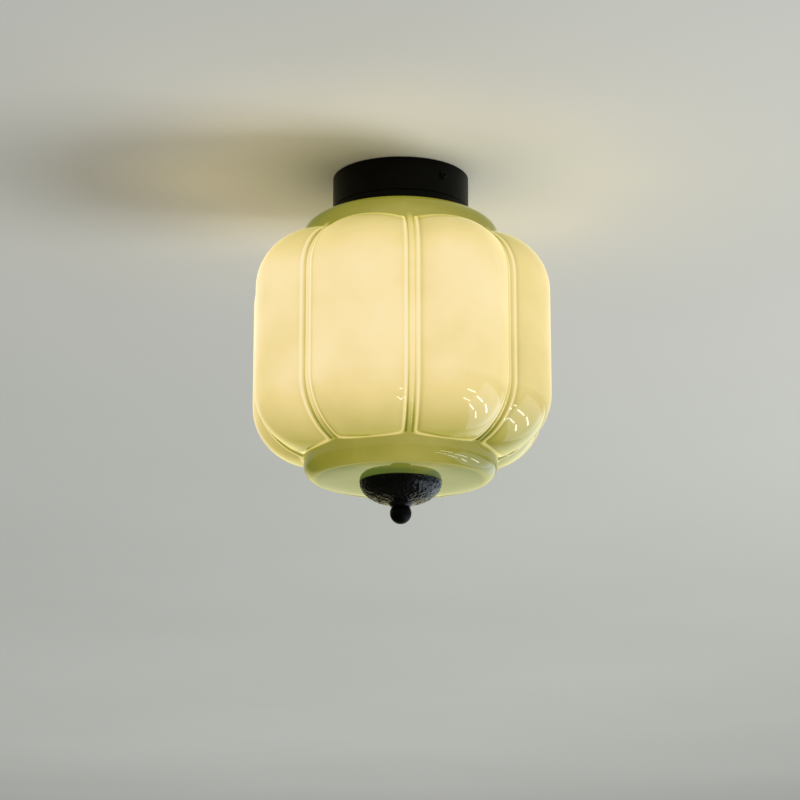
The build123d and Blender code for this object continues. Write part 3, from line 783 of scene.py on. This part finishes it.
def recessed_head(azimuth):
    """Rows of a pan head screw with a cross recess, its axis level and its head outward."""
    mid = Vector(on_circle(CUP_RADIUS, azimuth, SCREW_LEVEL))
    out = Vector(on_circle(1.0, azimuth, 0.0))
    side = Vector((math.cos(azimuth), math.sin(azimuth), 0.0))
    rows = []
    for distance, rise in screw_profile():
        row = []
        for j in range(SCREW_COLUMNS):
            turn = 2.0 * math.pi * j / SCREW_COLUMNS
            across, along = distance * math.cos(turn), distance * math.sin(turn)
            depth = rise
            if rise > HEAD_HEIGHT - RECESS_BAND:
                depth -= recess(across, along)
            point = mid + out * depth + side * across + Vector((0.0, 0.0, along))
            row.append(tuple(point))
        rows.append(row)
    return rows


def make_side_screws():
    """The two screws in the side of the cup, as one mesh."""
    screws = [grid_mesh("side_screw", recessed_head(azimuth), False) for azimuth in SCREW_AZIMUTHS]
    first = screws[0]
    with bpy.context.temp_override(active_object=first, selected_editable_objects=screws):
        bpy.ops.object.join()
    first.name = "cross_screws"
    return first


# Materials


def new_material(name):
    """Node material and its Principled shader."""
    material = bpy.data.materials.new(name)
    material.use_nodes = True
    return material, material.node_tree.nodes["Principled BSDF"]


def add_node(material, kind, **settings):
    """New shader node with plain settings and default input values."""
    node = material.node_tree.nodes.new(kind)
    for key, value in settings.items():
        if key in node.inputs:
            node.inputs[key].default_value = value
        else:
            setattr(node, key, value)
    return node


def link(material, output, target):
    """Join two sockets."""
    material.node_tree.links.new(output, target)


def set_inputs(node, values):
    """Values that are the same all over, on the node's own sockets."""
    for name, value in values.items():
        node.inputs[name].default_value = value


def noise_node(material, scale, detail):
    """Noise in the object's own metres."""
    place = add_node(material, "ShaderNodeTexCoord")
    node = add_node(material, "ShaderNodeTexNoise", Scale=scale, Detail=detail)
    link(material, place.outputs["Object"], node.inputs["Vector"])
    return node.outputs["Fac"]


def ramp_node(material, source, stops):
    """Colour ramp from (place, colour) pairs in linear colour."""
    node = add_node(material, "ShaderNodeValToRGB")
    ramp = node.color_ramp
    while len(ramp.elements) < len(stops):
        ramp.elements.new(0.5)
    for element, (place, colour) in zip(ramp.elements, stops):
        element.position = place
        element.color = (*colour, 1.0)
    link(material, source, node.inputs["Fac"])
    return node.outputs["Color"]


def two_tones(material, source, dark, light):
    """Noise turned into a blend of two close colours."""
    return ramp_node(material, source, [(NOISE_LOW, dark), (NOISE_HIGH, light)])


def range_node(material, source, low, high, start=NOISE_LOW, end=NOISE_HIGH, kind="LINEAR"):
    """Maps values between start and end, by default those of noise, to a range."""
    node = add_node(material, "ShaderNodeMapRange", interpolation_type=kind)
    set_inputs(node, {"From Min": start, "From Max": end, "To Min": low, "To Max": high})
    link(material, source, node.inputs["Value"])
    return node.outputs["Result"]


def bump_node(material, source, shader, strength, distance):
    """Small relief on a shader, or under another relief."""
    node = add_node(material, "ShaderNodeBump", Strength=strength, Distance=distance)
    link(material, source, node.inputs["Height"])
    link(material, node.outputs["Normal"], shader.inputs["Normal"])
    return node


def sum_node(material, operation, first, second):
    """Arithmetic on two sockets or numbers."""
    node = add_node(material, "ShaderNodeMath", operation=operation)
    for socket, value in zip(node.inputs, (first, second)):
        if isinstance(value, (int, float)):
            socket.default_value = value
        else:
            link(material, value, socket)
    return node.outputs["Value"]


def value_of(material, name):
    """Value that the mesh carries at each point."""
    node = add_node(material, "ShaderNodeAttribute", attribute_name=name)
    return node.outputs["Fac"]


def crown_node(material):
    """Soft bulge of the glass bottom, level in the middle and falling away towards the edge."""
    place = add_node(material, "ShaderNodeTexCoord")
    level = add_node(material, "ShaderNodeVectorMath", operation="MULTIPLY")
    level.inputs[1].default_value = (1.0, 1.0, 0.0)
    link(material, place.outputs["Object"], level.inputs[0])
    way = add_node(material, "ShaderNodeVectorMath", operation="LENGTH")
    link(material, level.outputs["Vector"], way.inputs[0])
    share = sum_node(material, "MULTIPLY", way.outputs["Value"], 1.0 / (BULGE_RADIUS * MM))
    share = sum_node(material, "MINIMUM", share, 1.0)
    fall = sum_node(material, "POWER", share, BULGE_POWER)
    return sum_node(material, "MULTIPLY", fall, -1.0)


def from_srgb(red, green, blue):
    """Linear colour from screen values of 0 to 255."""
    def one(value):
        share = value / 255.0
        return share / 12.92 if share <= 0.04045 else ((share + 0.055) / 1.055) ** 2.4
    return (one(red), one(green), one(blue))


def plain_finish(name, dark, light, roughness, metallic, grain, relief, sheen=0.5):
    """Finish with fine colour variation, uneven gloss and a small relief."""
    material, shader = new_material(name)
    set_inputs(shader, {"Specular IOR Level": sheen, "Metallic": metallic})
    fine = noise_node(material, grain, FINE_DETAIL)
    broad = noise_node(material, grain / BROAD_GRAIN, BROAD_DETAIL)
    link(material, two_tones(material, broad, dark, light), shader.inputs["Base Color"])
    gloss = range_node(material, fine, roughness * (1.0 - GLOSS_SPREAD), roughness * (1.0 + GLOSS_SPREAD))
    link(material, gloss, shader.inputs["Roughness"])
    bump_node(material, fine, shader, RELIEF_STRENGTH, relief)
    return material


def glass_light(material):
    """Light through the glass, painted as glow: the mesh's glow with soft clouds, painted light on the
    rims and painted shade in the slits.
    """
    clouds = noise_node(material, scale=26.0, detail=3.0)
    cloud = range_node(material, clouds, -CLOUD_LEVEL, CLOUD_LEVEL)
    rim = sum_node(material, "MULTIPLY", value_of(material, "ridge"), RIDGE_GAIN)
    slit = sum_node(material, "MULTIPLY", value_of(material, "slit"), SLIT_LOSS)
    lit = sum_node(material, "ADD", value_of(material, "glow"), cloud)
    lit = sum_node(material, "ADD", lit, rim)
    lit = sum_node(material, "SUBTRACT", lit, slit)
    return ramp_node(material, sum_node(material, "MULTIPLY", lit, GLOW_SCALE), [
        (0.0, from_srgb(80, 92, 26)),
        (0.12, from_srgb(131, 126, 34)),
        (0.24, from_srgb(148, 139, 48)),
        (0.36, from_srgb(180, 168, 82)),
        (0.48, from_srgb(204, 186, 108)),
        (0.6, from_srgb(226, 204, 130)),
        (0.7, from_srgb(243, 218, 146)),
        (0.8, from_srgb(255, 230, 171)),
        (0.94, from_srgb(255, 239, 196)),
    ])


def glass_finish():
    """Lit cased glass whose light is painted as emission: warm where the lamps shine through, olive where
    the painted glow is low.
    """
    material, shader = new_material("green_cased_glass")
    # Painted light: the glow of the lamps through the glass is emission
    link(material, glass_light(material), shader.inputs["Emission Color"])
    haze = noise_node(material, scale=40.0, detail=2.0)
    tint = two_tones(material, haze, (0.035, 0.048, 0.02), (0.045, 0.06, 0.027))
    link(material, tint, shader.inputs["Base Color"])
    set_inputs(shader, {"Emission Strength": 0.92, "Roughness": 0.06, "IOR": 1.52})
    ripple = noise_node(material, scale=60.0, detail=1.0)
    waves = bump_node(material, ripple, shader, strength=0.08, distance=0.0012)
    bump_node(material, crown_node(material), waves, strength=1.0, distance=BULGE_HEIGHT * MM)
    return material


def silicone_finish():
    """Soft, slightly cloudy clear silicone."""
    material = plain_finish(
        "clear_silicone", (0.55, 0.56, 0.54), (0.64, 0.65, 0.62),
        roughness=0.4, metallic=0.0, grain=400.0, relief=0.0001)
    shader = material.node_tree.nodes["Principled BSDF"]
    set_inputs(shader, {"Transmission Weight": 0.9, "IOR": 1.41})
    return material


def lamp_cover_finish():
    """Frosted cover of a lamp that is switched on."""
    material, shader = new_material("lit_lamp_cover")
    frost = noise_node(material, scale=300.0, detail=2.0)
    warm = two_tones(material, frost, (1.0, 0.78, 0.45), (1.0, 0.84, 0.55))
    link(material, warm, shader.inputs["Emission Color"])
    set_inputs(shader, {"Emission Strength": 2.0, "Base Color": (0.8, 0.78, 0.72, 1.0), "Roughness": 0.4})
    return material


def slot_finishes():
    """One finish for each material slot of the record."""
    return {
        "zinc_steel": plain_finish(
            "zinc_steel", (0.42, 0.43, 0.44), (0.55, 0.56, 0.57),
            roughness=0.34, metallic=1.0, grain=900.0, relief=0.0002),
        "dark_rubber": plain_finish(
            "dark_rubber", (0.018, 0.018, 0.019), (0.03, 0.03, 0.031),
            roughness=0.7, metallic=0.0, grain=700.0, relief=0.0002),
        "white_nylon": plain_finish(
            "white_nylon", (0.62, 0.61, 0.57), (0.7, 0.69, 0.65),
            roughness=0.45, metallic=0.0, grain=500.0, relief=0.0001),
        "brass": plain_finish(
            "brass", (0.58, 0.40, 0.14), (0.70, 0.50, 0.20),
            roughness=0.28, metallic=1.0, grain=800.0, relief=0.0002),
        "black_coat": plain_finish(
            "black_coat", (0.0016, 0.0016, 0.0012), (0.0028, 0.0027, 0.0021),
            roughness=0.42, metallic=0.0, grain=1500.0, relief=0.00012, sheen=0.07),
        "hammered_black": plain_finish(
            "hammered_black", (0.0014, 0.0014, 0.0014), (0.0026, 0.0026, 0.0028),
            roughness=0.26, metallic=0.0, grain=900.0, relief=0.0002, sheen=0.26),
        "clear_silicone": silicone_finish(),
        "holder_ceramic": plain_finish(
            "holder_ceramic", (0.66, 0.64, 0.58), (0.76, 0.74, 0.68),
            roughness=0.35, metallic=0.0, grain=350.0, relief=0.0002),
        "spring_metal": plain_finish(
            "spring_metal", (0.50, 0.47, 0.40), (0.62, 0.59, 0.52),
            roughness=0.3, metallic=1.0, grain=900.0, relief=0.0001),
        "green_glass": glass_finish(),
        "lamp_plastic": plain_finish(
            "lamp_plastic", (0.60, 0.60, 0.58), (0.68, 0.68, 0.66),
            roughness=0.4, metallic=0.0, grain=500.0, relief=0.0001),
        "lamp_cover": lamp_cover_finish(),
    }


def dress_nodes(finishes):
    """Gives every carried-over solid the finish of its slot."""
    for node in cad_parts.values():
        for slot in node.material_slots:
            key = slot.material.name.split(".")[0]
            slot.material = finishes[key]


# Stage, light and camera


def ceiling_finish():
    """Pale painted ceiling that can be looked through from above."""
    material, shader = new_material("pale_ceiling")
    patches = noise_node(material, scale=1.2, detail=3.0)
    tone = two_tones(material, patches, (0.62, 0.632, 0.60), (0.66, 0.672, 0.64))
    link(material, tone, shader.inputs["Base Color"])
    set_inputs(shader, {"Roughness": 0.95, "Specular IOR Level": 0.1})
    grain = noise_node(material, scale=60.0, detail=3.0)
    bump_node(material, grain, shader, strength=0.1, distance=0.001)
    clear = add_node(material, "ShaderNodeBsdfTransparent")
    face = add_node(material, "ShaderNodeNewGeometry")
    mix = add_node(material, "ShaderNodeMixShader")
    link(material, face.outputs["Backfacing"], mix.inputs["Fac"])
    link(material, shader.outputs["BSDF"], mix.inputs[1])
    link(material, clear.outputs["BSDF"], mix.inputs[2])
    link(material, mix.outputs["Shader"], material.node_tree.nodes["Material Output"].inputs["Surface"])
    return material


def make_ceiling():
    """Plane just above the light that faces down."""
    half, z = CEILING_HALF, CEILING_LEVEL
    mesh = bpy.data.meshes.new("ceiling")
    corners = [(-half, -half, z), (-half, half, z), (half, half, z), (half, -half, z)]
    mesh.from_pydata(corners, [], [(0, 1, 2, 3)])
    mesh.materials.append(ceiling_finish())
    ceiling = bpy.data.objects.new("ceiling", mesh)
    bpy.context.scene.collection.objects.link(ceiling)


def add_area(name, place, target, width, height, power, colour=WHITE, mirrored=False):
    """Soft box that looks at a point; mirrored says whether glossy faces show it."""
    lamp = bpy.data.lights.new(name, "AREA")
    lamp.shape = "RECTANGLE"
    lamp.size = width
    lamp.size_y = height
    lamp.energy = power
    lamp.color = colour
    holder = bpy.data.objects.new(name, lamp)
    holder.location = place
    holder.rotation_euler = (Vector(target) - Vector(place)).to_track_quat("-Z", "Y").to_euler()
    holder.visible_glossy = mirrored
    bpy.context.scene.collection.objects.link(holder)
    return holder


def make_surroundings():
    """Even pale room for the light; in reflections it is bright behind and on the right, dim in front."""
    world = bpy.data.worlds.new("studio")
    bpy.context.scene.world = world
    world.use_nodes = True
    place = add_node(world, "ShaderNodeTexCoord")
    facing = add_node(world, "ShaderNodeVectorMath", operation="DOT_PRODUCT")
    facing.inputs[1].default_value = BRIGHT_SIDE
    link(world, place.outputs["Generated"], facing.inputs[0])
    seen = range_node(
        world, facing.outputs["Value"], DIM_LEVEL, BRIGHT_LEVEL, *BRIGHT_REACH, kind="SMOOTHSTEP")
    ray = add_node(world, "ShaderNodeLightPath")
    level = add_node(world, "ShaderNodeMix", data_type="FLOAT")
    level.inputs["A"].default_value = ROOM_LEVEL
    link(world, ray.outputs["Is Glossy Ray"], level.inputs["Factor"])
    link(world, seen, level.inputs["B"])
    across = add_node(world, "ShaderNodeSeparateXYZ")
    link(world, place.outputs["Generated"], across.inputs["Vector"])
    tones = list(zip(TONE_REACH, (WARM_REFLECTION, COOL_REFLECTION)))
    mirrored = ramp_node(world, across.outputs["X"], tones)
    colour = add_node(world, "ShaderNodeMix", data_type="RGBA")
    colour.inputs["A"].default_value = ROOM_TONE
    link(world, ray.outputs["Is Glossy Ray"], colour.inputs["Factor"])
    link(world, mirrored, colour.inputs["B"])
    back = world.node_tree.nodes["Background"]
    link(world, colour.outputs["Result"], back.inputs["Color"])
    link(world, level.outputs["Result"], back.inputs["Strength"])


def make_light():
    """Key light, far fill, a window seen only in gloss, and two dashed rows that show as streaks."""
    add_area("key", (2.2, 0.1, -2.3), LIGHT_TARGET, width=1.4, height=1.4, power=46.0)
    add_area("far_fill", (0.0, 3.2, -2.4), (0.0, 3.6, 0.0), width=2.0, height=2.0, power=22.0)
    window = add_area(
        "window", (1.7, 0.5, -1.25), LIGHT_TARGET,
        width=2.6, height=1.8, power=14.5, colour=SKY, mirrored=True)
    window.visible_diffuse = False
    for row, z in enumerate(STREAK_HEIGHTS):
        for dash in range(DASHES):
            name = f"strip_{row + 1}_{dash + 1}"
            place = (STREAK_SIDE, FIRST_DASH + DASH_STEP * dash, z)
            add_area(name, place, LIGHT_TARGET, width=0.55, height=0.06, power=1.4, mirrored=True)


def make_glow():
    """Warm light that the lit shade throws on the ceiling round the cup."""
    for i in range(GLOW_LAMPS):
        azimuth = 2.0 * math.pi * i / GLOW_LAMPS
        lamp = bpy.data.lights.new(f"glow_{i + 1}", "POINT")
        lean = GLOW_TO_LEFT * math.sin(azimuth) + GLOW_TO_BACK * math.cos(azimuth)
        lamp.energy = GLOW_POWER * (1.0 - lean)
        lamp.color = GLOW_COLOUR
        lamp.shadow_soft_size = GLOW_SIZE * MM
        holder = bpy.data.objects.new(lamp.name, lamp)
        holder.location = [part * MM for part in on_circle(GLOW_RADIUS, azimuth, GLOW_LEVEL)]
        holder.visible_glossy = False
        bpy.context.scene.collection.objects.link(holder)


def make_camera():
    """Camera below the ceiling, looking up at the light from the front."""
    data = bpy.data.cameras.new("front")
    data.lens = CAMERA_LENS
    data.sensor_width = SENSOR_WIDTH
    camera = bpy.data.objects.new("front", data)
    camera.location = CAMERA_PLACE
    camera.rotation_euler = (math.pi / 2 + CAMERA_PITCH, 0.0, 0.0)
    bpy.context.scene.collection.objects.link(camera)
    bpy.context.scene.camera = camera


def place_piece(piece, body, finish, node):
    """A new mesh takes the place of a solid."""
    piece.data.materials.clear()
    piece.data.materials.append(finish)
    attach(piece, body)
    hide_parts(node)


finishes = slot_finishes()
dress_nodes(finishes)
place_piece(make_glass(), "shade", finishes["green_glass"], "glass_shade")
place_piece(make_dome(), "finial_cup", finishes["hammered_black"], "finial_cup")
place_piece(make_rod(), "base", finishes["zinc_steel"], "centre_rod")
place_piece(make_side_screws(), "base", finishes["black_coat"], "canopy_screws")
make_ceiling()
make_surroundings()
make_light()
make_glow()
make_camera()
bpy.context.scene.view_settings.view_transform = "Standard"
